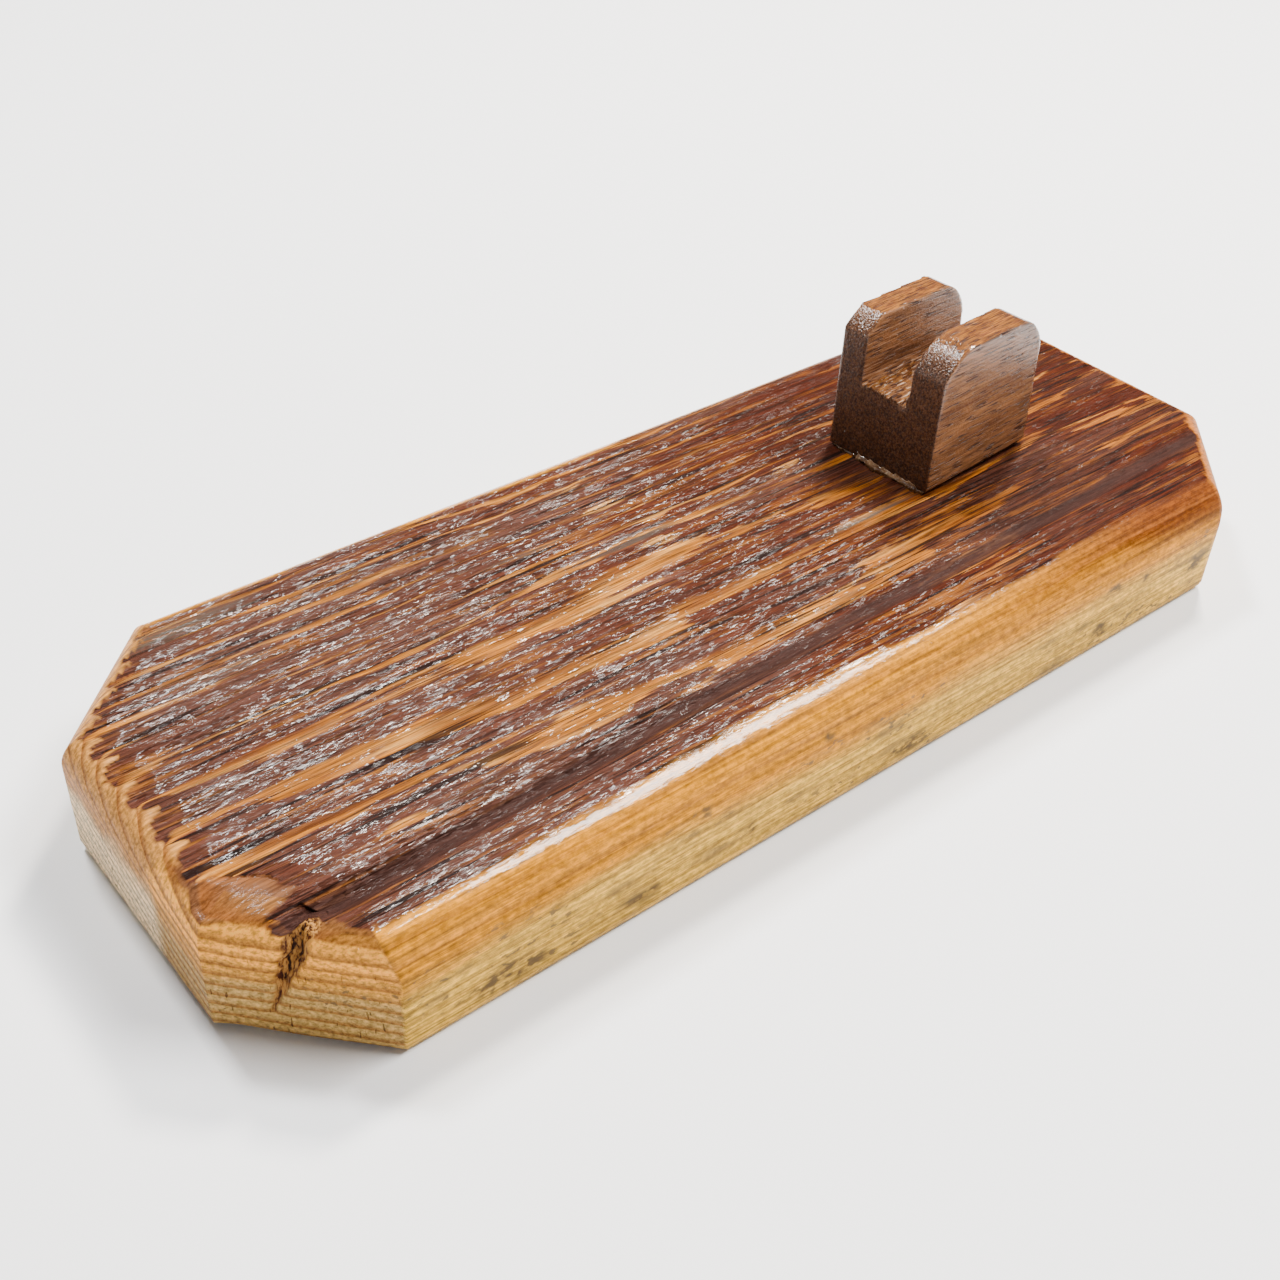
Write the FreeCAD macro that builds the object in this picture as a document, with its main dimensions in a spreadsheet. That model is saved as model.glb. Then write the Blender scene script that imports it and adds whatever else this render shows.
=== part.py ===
"""Forked wooden rest: a weathered softwood board with its corners cut off, and a walnut fork fixed on it.

Frame, in millimetres: +X runs along the board's grain towards the end with the fork, +Y points at the
board's far long side, +Z is up. The origin is under the middle of the board, on the face it rests on.
The fork, its glue and its screw share a local frame whose Z axis is the screw's: the fork stands on the
board turned a little about that axis, with its front face towards -X.
"""

import FreeCAD
import Part
import Sketcher
import os

OUT = "parts"
os.makedirs(OUT, exist_ok=True)

# Driving dimensions: alias, value in millimetres (fork_yaw is in degrees), and what the value is.
DIMENSIONS = [
    ("board_length", 236.0, "board, end to end"),
    ("board_width", 89.0, "board, side to side"),
    ("board_thickness", 24.0, "board, underside to top"),
    ("cut_left_near_x", 20.0, "corner cut at -X -Y, along the length"),
    ("cut_left_near_y", 21.2, "corner cut at -X -Y, across the width"),
    ("cut_right_near_x", 23.0, "corner cut at +X -Y, along the length"),
    ("cut_right_near_y", 22.6, "corner cut at +X -Y, across the width"),
    ("cut_far", 22.3, "both corner cuts at +Y, each way"),
    ("side_round", 9.0, "sanded rounding of the -Y top edge"),
    ("top_round", 6.0, "sanded rounding of the other top edges"),
    ("bottom_round", 1.8, "rounding of the bottom edges"),
    ("split_left_y", -31.2, "split along the grain, middle at the -X end"),
    ("split_right_y", -27.2, "split along the grain, middle at the +X end"),
    ("split_left_width", 5.0, "split, width at the -X end"),
    ("split_right_width", 3.6, "split, width at the +X end"),
    ("split_left_depth", 2.6, "split, depth at the -X end"),
    ("split_right_depth", 1.0, "split, depth at the +X end"),
    ("screw_x", 58.8, "screw axis, along the board"),
    ("screw_y", 3.8, "screw axis, across the board"),
    ("fork_yaw", 3.8, "fork's turn about the screw, anticlockwise from above"),
    ("fork_width", 25.2, "fork, across the slot"),
    ("fork_front", 15.8, "fork, screw axis to the front face"),
    ("fork_foot", 16.2, "fork, screw axis to the back at the foot"),
    ("fork_back", 14.8, "fork, screw axis to the back under its rounding"),
    ("fork_height", 29.3, "fork, foot to top"),
    ("near_prong", 7.7, "thickness of the -Y prong"),
    ("far_prong", 6.0, "thickness of the +Y prong"),
    ("slot_floor", 16.2, "slot's floor above the foot"),
    ("floor_climb", 2.2, "how far the floor climbs to the -Y prong"),
    ("climb_width", 2.0, "width of that climb"),
    ("far_nose_run", 4.6, "front rounding of the +Y prong, back along its top"),
    ("far_nose_drop", 3.7, "front rounding of the +Y prong, down its front"),
    ("far_nose_bow", 0.3, "how far that rounding bows out from a flat bevel"),
    ("near_nose_run", 7.4, "front rounding of the -Y prong, back along its top"),
    ("near_nose_drop", 5.9, "front rounding of the -Y prong, down its front"),
    ("near_nose_bow", 1.1, "how far that rounding bows out from a flat bevel"),
    ("back_run", 7.0, "back rounding of both prongs, along their tops"),
    ("back_drop", 7.8, "back rounding of both prongs, down their backs"),
    ("back_bow", 1.5, "how far that rounding bows out from a flat bevel"),
    ("fork_edge", 0.5, "rounding of the fork's upright corners"),
    ("glue_thickness", 0.3, "cured glue under the fork"),
    ("glue_inset", 1.0, "how far the glue stops short of the fork's sides"),
    ("bead_reach", 0.7, "squeezed-out bead, out from the fork's front face"),
    ("bead_height", 0.9, "squeezed-out bead, up that face"),
    ("bead_near", 10.0, "squeezed-out bead, screw axis to its -Y end"),
    ("bead_length", 15.0, "squeezed-out bead, across the fork's front"),
    ("screw_length", 32.0, "screw, head to tip"),
    ("screw_sink", 1.0, "screw's head above the board's underside"),
    ("head_radius", 4.0, "countersunk head"),
    ("head_rim", 0.4, "straight rim of the head"),
    ("root_radius", 1.5, "screw's shank and thread root"),
    ("crest_radius", 2.0, "screw's thread crest"),
    ("thread_pitch", 1.8, "one turn of the thread to the next"),
    ("thread_turns", 11.0, "number of turns, counted and not a length"),
    ("tip_length", 3.5, "cone of the screw's tip"),
    ("recess_span", 4.4, "cross recess, end to end"),
    ("recess_wing", 1.0, "cross recess, across one wing"),
    ("recess_depth", 1.6, "cross recess, depth"),
    ("hole_gap", 0.1, "gap round the screw in both woods"),
    ("margin", 2.0, "how far a cut runs past the wood it cuts"),
]

TINY = 1e-4  # millimetres, for telling whether an edge's middle lies on a plane

# Rules in the sheet's aliases that more than one feature needs.
NEAR_SIDE = "-dims.board_width / 2"
FAR_SIDE = "dims.board_width / 2"
LEFT_END = "-dims.board_length / 2"
RIGHT_END = "dims.board_length / 2"
SLOT_NEAR = "-dims.fork_width / 2 + dims.near_prong"
SLOT_FAR = "dims.fork_width / 2 - dims.far_prong"
FORK_BASE = "dims.board_thickness + dims.glue_thickness"
HOLE_RADIUS = "dims.crest_radius + dims.hole_gap"

document = FreeCAD.newDocument("forked_rest")
sheet = document.addObject("Spreadsheet::Sheet", "dims")
for row, (alias, value, meaning) in enumerate(DIMENSIONS, start=1):
    sheet.set(f"A{row}", meaning)
    sheet.set(f"B{row}", str(value))
    sheet.setAlias(f"B{row}", alias)
document.recompute()


def size_of(rule):
    """What a rule comes to, in millimetres."""
    return float(sheet.evalExpression(rule))


# ---- helpers for bodies, sketches and features ----


def make_body(name):
    body = document.addObject("PartDesign::Body", name)
    body.Label = name
    return body


def origin_item(body, role):
    """One of a body's own origin planes or axes."""
    return next(item for item in body.Origin.OriginFeatures if item.Role == role)


def make_sketch(body, name, role, lift=None):
    """A sketch on one of the body's origin planes, lifted along the plane's normal by a rule."""
    sketch = body.newObject("Sketcher::SketchObject", name)
    sketch.AttachmentSupport = [(origin_item(body, role), "")]
    sketch.MapMode = "FlatFace"
    if lift:
        sketch.setExpression("AttachmentOffset.Base.z", lift)
    return sketch


def bind(sketch, kind, places, rule):
    """Adds a dimension that follows the sheet."""
    index = sketch.addConstraint(Sketcher.Constraint(kind, *places, size_of(rule)))
    sketch.setExpression(f"Constraints[{index}]", rule)


def draw_outline(sketch, corners, radii=None):
    """A closed outline through (x rule, y rule) corners.

    radii gives, for the side that starts at a numbered corner, the rule for its radius. Such a side is an
    arc that turns anticlockwise from its corner to the next. Every other side is straight.
    """
    radii = radii or {}
    points = [FreeCAD.Vector(size_of(x), size_of(y), 0) for x, y in corners]
    for side, start in enumerate(points):
        end = points[(side + 1) % len(points)]
        if side in radii:
            sketch.addGeometry(arc_between(start, end, size_of(radii[side])), False)
        else:
            sketch.addGeometry(Part.LineSegment(start, end), False)
    for side, (x_rule, y_rule) in enumerate(corners):
        following = (side + 1) % len(corners)
        sketch.addConstraint(Sketcher.Constraint("Coincident", side, 2, following, 1))
        bind(sketch, "DistanceX", (-1, 1, side, 1), x_rule)
        bind(sketch, "DistanceY", (-1, 1, side, 1), y_rule)
    for side, radius_rule in radii.items():
        bind(sketch, "Radius", (side,), radius_rule)


def arc_between(start, end, radius):
    """The short anticlockwise arc from start to end."""
    chord = end - start
    left = FreeCAD.Vector(-chord.y, chord.x, 0).normalize()
    centre = (start + end) * 0.5 + left * (radius ** 2 - chord.Length ** 2 / 4) ** 0.5
    circle = Part.Circle(centre, FreeCAD.Vector(0, 0, 1), radius)
    return Part.ArcOfCircle(circle, circle.parameter(start), circle.parameter(end))


def bowed_radius(run, drop, bow):
    """The radius rule of an arc over a run and a drop whose middle stands bow off its chord."""
    return f"({run} ^ 2 + {drop} ^ 2) / (8 * {bow}) + {bow} / 2"


def draw_circle(sketch, radius_rule):
    """A circle about the sketch's origin."""
    circle = Part.Circle(FreeCAD.Vector(), FreeCAD.Vector(0, 0, 1), size_of(radius_rule))
    side = sketch.addGeometry(circle, False)
    sketch.addConstraint(Sketcher.Constraint("Coincident", side, 3, -1, 1))
    bind(sketch, "Radius", (side,), radius_rule)


def add_feature(body, kind, name, sketch, rules=None, **settings):
    """A PartDesign feature on a sketch: rules are bound to the sheet, settings are set once."""
    document.recompute()
    feature = body.newObject(f"PartDesign::{kind}", name)
    feature.Profile = sketch
    for setting, value in settings.items():
        setattr(feature, setting, value)
    for setting, rule in (rules or {}).items():
        feature.setExpression(setting, rule)
    document.recompute()
    return feature


def add_fillet(body, name, chosen, radius_rule):
    """Rounds the edges of the body's shape whose middle points chosen accepts."""
    base = body.Tip
    edges = [f"Edge{i}" for i, edge in enumerate(base.Shape.Edges, start=1) if chosen(edge.CenterOfMass)]
    fillet = body.newObject("PartDesign::Fillet", name)
    fillet.Base = (base, edges)
    fillet.setExpression("Radius", radius_rule)
    document.recompute()


def stand_on_screw_axis(body, height_rule):
    """Puts a body's own Z axis on the screw's axis, at a height, and turns it with the fork."""
    upright = FreeCAD.Vector(0, 0, 1)
    body.Placement = FreeCAD.Placement(FreeCAD.Vector(), FreeCAD.Rotation(upright, size_of("dims.fork_yaw")))
    body.setExpression("Placement.Base.x", "dims.screw_x")
    body.setExpression("Placement.Base.y", "dims.screw_y")
    body.setExpression("Placement.Base.z", height_rule)
    body.setExpression("Placement.Rotation.Angle", "dims.fork_yaw")


# ---- board ----


def split_section(body, name, x_rule, y_rule, width_rule, depth_rule):
    """A wedge-shaped section of the split, point down, across the grain at x."""
    section = make_sketch(body, name, "YZ_Plane", x_rule)
    above = "dims.board_thickness + dims.margin"
    half_mouth = f"{width_rule} / 2 * (1 + dims.margin / {depth_rule})"
    draw_outline(section, [
        (y_rule, f"dims.board_thickness - {depth_rule}"),
        (f"{y_rule} + {half_mouth}", above),
        (f"{y_rule} - {half_mouth}", above),
    ])
    return section


def make_base_board():
    """The board: an eight-sided pad, rounded by hand, with a split in its top and the screw's hole."""
    body = make_body("base_board")
    outline = make_sketch(body, "board_outline", "XY_Plane")
    draw_outline(outline, [
        (f"{LEFT_END} + dims.cut_left_near_x", NEAR_SIDE),
        (f"{RIGHT_END} - dims.cut_right_near_x", NEAR_SIDE),
        (RIGHT_END, f"{NEAR_SIDE} + dims.cut_right_near_y"),
        (RIGHT_END, f"{FAR_SIDE} - dims.cut_far"),
        (f"{RIGHT_END} - dims.cut_far", FAR_SIDE),
        (f"{LEFT_END} + dims.cut_far", FAR_SIDE),
        (LEFT_END, f"{FAR_SIDE} - dims.cut_far"),
        (LEFT_END, f"{NEAR_SIDE} + dims.cut_left_near_y"),
    ])
    add_feature(body, "Pad", "board_blank", outline, {"Length": "dims.board_thickness"})

    top = size_of("dims.board_thickness")
    add_fillet(body, "top_rounding", lambda middle: abs(middle.z - top) < TINY, "dims.top_round")
    add_fillet(body, "bottom_rounding", lambda middle: abs(middle.z) < TINY, "dims.bottom_round")

    waste = make_sketch(body, "side_waste", "YZ_Plane")
    draw_outline(waste, [
        (f"{NEAR_SIDE} + dims.side_round", "dims.board_thickness"),
        (NEAR_SIDE, "dims.board_thickness - dims.side_round"),
        (f"{NEAR_SIDE} - dims.margin", "dims.board_thickness - dims.side_round"),
        (f"{NEAR_SIDE} - dims.margin", "dims.board_thickness + dims.margin"),
        (f"{NEAR_SIDE} + dims.side_round", "dims.board_thickness + dims.margin"),
    ], {0: "dims.side_round"})
    add_feature(body, "Pocket", "side_rounding", waste, Type="ThroughAll", Midplane=True)

    left = split_section(body, "split_left", LEFT_END, "dims.split_left_y",
                         "dims.split_left_width", "dims.split_left_depth")
    right = split_section(body, "split_right", RIGHT_END, "dims.split_right_y",
                          "dims.split_right_width", "dims.split_right_depth")
    add_feature(body, "SubtractiveLoft", "split", left, Sections=[right], Ruled=True)

    mouth = make_sketch(body, "screw_hole_mouth", "XY_Plane")
    mouth.setExpression("AttachmentOffset.Base.x", "dims.screw_x")
    mouth.setExpression("AttachmentOffset.Base.y", "dims.screw_y")
    draw_circle(mouth, HOLE_RADIUS)
    add_feature(body, "Hole", "screw_hole", mouth, {
        "Diameter": f"2 * ({HOLE_RADIUS})",
        "HoleCutDiameter": "2 * (dims.head_radius + dims.head_rim + dims.screw_sink + dims.hole_gap)",
    }, DepthType="ThroughAll", HoleCutType="Countersink", HoleCutCountersinkAngle=90.0, Reversed=True)
    return body


# ---- fork, with the prongs' profile drawn from the side ----


def draw_prong(sketch, nose_run, nose_drop, nose_bow):
    """A prong's side: upright front with a rounded nose, level top, rounded back that leans out lower down."""
    back_shoulder = "dims.fork_height - dims.back_drop"
    draw_outline(sketch, [
        ("-dims.fork_front", "0"),
        ("dims.fork_foot", "0"),
        ("dims.fork_back", back_shoulder),
        ("dims.fork_back - dims.back_run", "dims.fork_height"),
        (f"-dims.fork_front + {nose_run}", "dims.fork_height"),
        ("-dims.fork_front", f"dims.fork_height - {nose_drop}"),
    ], {
        2: bowed_radius("dims.back_run", "dims.back_drop", "dims.back_bow"),
        4: bowed_radius(nose_run, nose_drop, nose_bow),
    })


def make_fork_rest():
    """The fork: one walnut block, its +Y part blunter at the front, with a slot sawn down through it."""
    body = make_body("fork_rest")
    stand_on_screw_axis(body, FORK_BASE)

    near_side = make_sketch(body, "near_prong_side", "XZ_Plane", f"-({SLOT_NEAR})")
    draw_prong(near_side, "dims.near_nose_run", "dims.near_nose_drop", "dims.near_nose_bow")
    add_feature(body, "Pad", "near_part", near_side, {"Length": "dims.near_prong"})

    far_side = make_sketch(body, "far_prong_side", "XZ_Plane", "-dims.fork_width / 2")
    draw_prong(far_side, "dims.far_nose_run", "dims.far_nose_drop", "dims.far_nose_bow")
    add_feature(body, "Pad", "far_part", far_side, {"Length": "dims.fork_width - dims.near_prong"})

    above = "dims.fork_height + dims.margin"
    slot = make_sketch(body, "slot_outline", "YZ_Plane")
    draw_outline(slot, [
        (SLOT_NEAR, above),
        (SLOT_NEAR, "dims.slot_floor + dims.floor_climb"),
        (f"{SLOT_NEAR} + dims.climb_width", "dims.slot_floor"),
        (SLOT_FAR, "dims.slot_floor"),
        (SLOT_FAR, above),
    ])
    add_feature(body, "Pocket", "slot", slot, Type="ThroughAll", Midplane=True)

    reach = size_of("dims.fork_width") / 2
    shoulder = size_of("dims.fork_height - dims.back_drop")
    add_fillet(body, "eased_corners",
               lambda middle: abs(abs(middle.y) - reach) < TINY and 0 < middle.z < shoulder,
               "dims.fork_edge")

    mouth = make_sketch(body, "pilot_hole_mouth", "XY_Plane")
    draw_circle(mouth, HOLE_RADIUS)
    add_feature(body, "Hole", "pilot_hole", mouth, {
        "Diameter": f"2 * ({HOLE_RADIUS})",
        "Depth": f"dims.screw_sink + dims.screw_length - ({FORK_BASE}) + dims.hole_gap",
    }, DepthType="Dimension", DrillPoint="Flat", Reversed=True)
    return body


# ---- glue ----


def make_glue_bed():
    """The glue: a thin bed round the screw, and a three-cornered bead up part of the fork's front."""
    body = make_body("glue_bed")
    stand_on_screw_axis(body, "dims.board_thickness")
    bed = make_sketch(body, "bed_outline", "XY_Plane")
    near_edge = "-dims.fork_width / 2 + dims.glue_inset"
    far_edge = "dims.fork_width / 2 - dims.glue_inset"
    back_edge = "dims.fork_foot - dims.glue_inset"
    draw_outline(bed, [
        ("-dims.fork_front", near_edge),
        (back_edge, near_edge),
        (back_edge, far_edge),
        ("-dims.fork_front", far_edge),
    ])
    draw_circle(bed, HOLE_RADIUS)
    add_feature(body, "Pad", "bed", bed, {"Length": "dims.glue_thickness"})

    bead = make_sketch(body, "bead_section", "XZ_Plane", "dims.bead_near - dims.bead_length")
    draw_outline(bead, [
        ("-dims.fork_front - dims.bead_reach", "0"),
        ("-dims.fork_front", "0"),
        ("-dims.fork_front", "dims.glue_thickness + dims.bead_height"),
    ])
    add_feature(body, "Pad", "bead", bead, {"Length": "dims.bead_length"})
    return body


# ---- screw ----


def make_fixing_screw():
    """The countersunk wood screw, head down, with raised rings for its thread and a cross recess."""
    body = make_body("fixing_screw")
    stand_on_screw_axis(body, "dims.screw_sink")
    axis = (origin_item(body, "Z_Axis"), "")
    tip_base = "dims.screw_length - dims.tip_length"
    profile = make_sketch(body, "screw_profile", "XZ_Plane")
    draw_outline(profile, [
        ("0", "0"),
        ("dims.head_radius", "0"),
        ("dims.head_radius", "dims.head_rim"),
        ("dims.root_radius", "dims.head_rim + dims.head_radius - dims.root_radius"),
        ("dims.root_radius", tip_base),
        ("0", "dims.screw_length"),
    ])
    add_feature(body, "Revolution", "shank_and_head", profile, ReferenceAxis=axis)

    ridge = make_sketch(body, "thread_ridge_section", "XZ_Plane")
    draw_outline(ridge, [
        ("dims.root_radius - dims.hole_gap", f"{tip_base} - dims.thread_pitch * 2 / 3"),
        ("dims.crest_radius", f"{tip_base} - dims.thread_pitch / 3"),
        ("dims.root_radius - dims.hole_gap", tip_base),
    ])
    turn = add_feature(body, "Revolution", "thread_turn", ridge, ReferenceAxis=axis)
    thread = body.newObject("PartDesign::LinearPattern", "thread")
    thread.Originals = [turn]
    thread.Direction = axis
    thread.Reversed = True
    thread.setExpression("Length", "dims.thread_pitch * (dims.thread_turns - 1)")
    thread.setExpression("Occurrences", "dims.thread_turns")
    body.Tip = thread

    recess = make_sketch(body, "recess_outline", "XY_Plane")
    tip, wing = "dims.recess_span / 2", "dims.recess_wing / 2"
    draw_outline(recess, [
        (tip, f"-{wing}"), (tip, wing), (wing, wing), (wing, tip), (f"-{wing}", tip), (f"-{wing}", wing),
        (f"-{tip}", wing), (f"-{tip}", f"-{wing}"), (f"-{wing}", f"-{wing}"), (f"-{wing}", f"-{tip}"),
        (wing, f"-{tip}"), (wing, f"-{wing}"),
    ])
    add_feature(body, "Pocket", "cross_recess", recess, {"Length": "dims.recess_depth"}, Reversed=True)
    return body


# ---- build, check and write ----


def failed_objects():
    """Names of the document's objects that did not recompute."""
    return [item.Name for item in document.Objects if {"Invalid", "Error"} & set(item.State)]


bodies = [make_base_board(), make_fork_rest(), make_glue_bed(), make_fixing_screw()]
document.recompute()

failed = failed_objects()
if failed:
    raise SystemExit(f"not recomputed: {failed}")
for body in bodies:
    shape = body.Shape
    if shape.isNull() or not shape.isValid() or len(shape.Solids) != 1:
        raise SystemExit(f"{body.Label} is not one valid solid")
for body in bodies:
    body.Shape.exportStep(f"{OUT}/{body.Label}.step")
    print(f"{body.Label}: {body.Shape.Volume:.0f} cubic mm")
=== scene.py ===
"""The forked wooden rest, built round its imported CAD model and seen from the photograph's angle.

Lengths in this script are in millimetres, in the CAD frame, until a mesh or an object is made: MM then
turns them into metres. The board, the fork and the glue are new meshes that stand for their CAD nodes.
The screw is the CAD's own node with a material of its own.
"""
import math

import bmesh
import bpy
import numpy as np
from mathutils import Matrix, Vector


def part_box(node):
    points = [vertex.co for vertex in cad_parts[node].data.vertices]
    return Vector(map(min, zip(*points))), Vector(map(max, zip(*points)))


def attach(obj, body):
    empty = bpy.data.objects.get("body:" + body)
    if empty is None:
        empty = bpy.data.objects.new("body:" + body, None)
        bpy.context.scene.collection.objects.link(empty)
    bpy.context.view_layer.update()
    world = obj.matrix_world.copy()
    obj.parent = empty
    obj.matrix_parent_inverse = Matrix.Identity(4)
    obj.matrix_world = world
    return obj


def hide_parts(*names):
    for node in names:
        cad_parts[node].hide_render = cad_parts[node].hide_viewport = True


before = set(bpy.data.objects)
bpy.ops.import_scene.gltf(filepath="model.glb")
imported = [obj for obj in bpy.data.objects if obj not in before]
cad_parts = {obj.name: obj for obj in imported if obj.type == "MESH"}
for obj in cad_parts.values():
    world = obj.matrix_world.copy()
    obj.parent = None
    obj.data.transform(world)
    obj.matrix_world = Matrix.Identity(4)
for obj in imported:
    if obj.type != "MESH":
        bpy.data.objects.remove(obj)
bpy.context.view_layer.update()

MM = 0.001

# ---- sizes taken from the frame ----

BOARD_LOW, BOARD_HIGH = (np.array(corner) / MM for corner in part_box("base_board"))
SCREW_LOW, SCREW_HIGH = (np.array(corner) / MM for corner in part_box("fixing_screw"))
LEFT, NEAR = BOARD_LOW[:2]
RIGHT, FAR, TOP = BOARD_HIGH
SCREW_AXIS = (SCREW_LOW + SCREW_HIGH)[:2] / 2

# ---- sizes the frame doesn't state, the same as the CAD's ----

CUT_LEFT_NEAR = (20.0, 21.2)   # corner cuts, along the length and across the width
CUT_RIGHT_NEAR = (23.0, 22.6)
CUT_FAR = (22.3, 22.3)
SIDE_ROUND = 9.0               # rounding of the near top edge
TOP_ROUND = 6.0                # rounding of the other top edges
BOTTOM_ROUND = 1.8             # rounding of the bottom edges
SINK_RADIUS = 5.5              # the countersink's mouth
HOLE_RADIUS = 2.1              # the screw's hole
FORK_YAW = math.radians(3.8)


# ---- noise ----

NOISE_GAIN = 1.6      # brings the noise to between about -1 and 1


def lattice_noise(points, seed):
    """Smooth noise, mostly within -1 and 1, at n x 3 points, with one lattice cell to a unit."""
    source = np.random.default_rng(seed)
    shuffle = source.permutation(256)
    slopes = source.normal(size=(256, 3))
    slopes /= np.linalg.norm(slopes, axis=1, keepdims=True)
    cell = np.floor(points).astype(int)
    inside = points - cell
    fade = inside ** 3 * (inside * (inside * 6 - 15) + 10)
    total = np.zeros(len(points))
    for step in np.ndindex(2, 2, 2):
        corner = cell + step
        key = shuffle[(shuffle[(shuffle[corner[:, 0] & 255] + corner[:, 1]) & 255] + corner[:, 2]) & 255]
        weight = np.prod(np.where(step, fade, 1 - fade), axis=1)
        total += weight * np.sum((inside - step) * slopes[key], axis=1)
    return total * NOISE_GAIN


def grain_noise(points, sizes, seed):
    """Noise at points in millimetres, whose features are about sizes (x, y, z) millimetres long."""
    return lattice_noise(points / np.array(sizes), seed)


def smooth_step(low, high, value):
    """0 where the value is at low, 1 where it is at high, and a smooth climb between."""
    part = np.clip((value - low) / (high - low), 0, 1)
    return part * part * (3 - 2 * part)


# ---- growth rings: cylinders about a pith along X, high above the near edge ----

PITH_Y, PITH_Z = -45.0, 157.0
FIRST_RADIUS = PITH_Z - TOP
RING_OLD, RING_YOUNG = 1.9, 3.2   # ring spacing far from the pith, and near it
RING_FALL = 12.0                  # the distance over which it falls


def ring_number(points):
    """How many rings lie between the board's top near edge and each point, as a smooth number."""
    wide = 0.35 + 0.75 * smooth_step(-95, -20, points[:, 0])
    wander = (
        wide * 1.5 * grain_noise(points, (75, 17, 20), 11)
        + wide * 0.55 * grain_noise(points, (30, 7, 9), 12)
        + 0.16 * grain_noise(points, (11, 3, 4), 13)
    )
    depth = np.hypot(points[:, 1] - PITH_Y, points[:, 2] - PITH_Z) - FIRST_RADIUS + wander
    ratio = (RING_YOUNG - RING_OLD) / RING_OLD
    swell = np.log((1 + ratio * np.exp(-depth / RING_FALL)) / (1 + ratio))
    return (depth + RING_FALL * swell) / RING_OLD


# ---- the board's mesh ----

FOOT_LEVELS = (0.0, 0.25, 0.8, BOTTOM_ROUND)   # heights of the loops on the bottom rounding
TOP_ROWS = 208        # quads across the top
SIDE_STATIONS = 184   # quads along a long side
CUT_STATIONS = 48     # quads along a corner cut
WALL_LEVELS = 14      # levels on the upright part of the walls
ROUND_LEVELS = 15     # levels on the top rounding


def octagon(insets):
    """The eight corners of the board's outline when side i has moved in by insets[i]. Side 0 is the near
    one, and side i runs anticlockwise from corner i to corner i + 1."""
    corners = np.array([
        (LEFT + CUT_LEFT_NEAR[0], NEAR),
        (RIGHT - CUT_RIGHT_NEAR[0], NEAR),
        (RIGHT, NEAR + CUT_RIGHT_NEAR[1]),
        (RIGHT, FAR - CUT_FAR[1]),
        (RIGHT - CUT_FAR[0], FAR),
        (LEFT + CUT_FAR[0], FAR),
        (LEFT, FAR - CUT_FAR[1]),
        (LEFT, NEAR + CUT_LEFT_NEAR[1]),
    ])
    along = np.roll(corners, -1, axis=0) - corners
    along /= np.linalg.norm(along, axis=1, keepdims=True)
    inward = np.stack([-along[:, 1], along[:, 0]], axis=1)
    offset = np.sum(inward * corners, axis=1) + insets
    moved = []
    for side in range(8):
        pair = [side - 1, side]
        moved.append(np.linalg.solve(inward[pair], offset[pair]))
    return np.array(moved)


def rounding_inset(radius, above):
    """How far a rounded edge has come in, at a height above where its rounding starts."""
    rise = np.clip(above, 0, radius)
    return radius - math.sqrt(radius ** 2 - rise ** 2)


def insets_at(z):
    """Each side's inset at height z."""
    foot = rounding_inset(BOTTOM_ROUND, BOTTOM_ROUND - z)
    near = rounding_inset(SIDE_ROUND, z - (TOP - SIDE_ROUND))
    other = rounding_inset(TOP_ROUND, z - (TOP - TOP_ROUND))
    return np.array([near] + [other] * 7) + foot


def outline_points(corners):
    """The outline's stations, anticlockwise from corner 0."""
    counts = [SIDE_STATIONS, CUT_STATIONS, TOP_ROWS, CUT_STATIONS] * 2
    loop = []
    for side, count in enumerate(counts):
        part = np.arange(count)[:, None] / count
        loop.append(corners[side] * (1 - part) + corners[(side + 1) % 8] * part)
    return np.vstack(loop)


def wall_heights():
    """Heights of the wall's loops: close together where an edge is rounded."""
    upright = np.linspace(BOTTOM_ROUND, TOP - SIDE_ROUND, WALL_LEVELS + 1)[1:]
    turns = np.linspace(0, math.pi / 2, ROUND_LEVELS + 1)[1:]
    return np.concatenate([FOOT_LEVELS, upright, TOP - SIDE_ROUND + SIDE_ROUND * np.sin(turns)])


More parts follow.
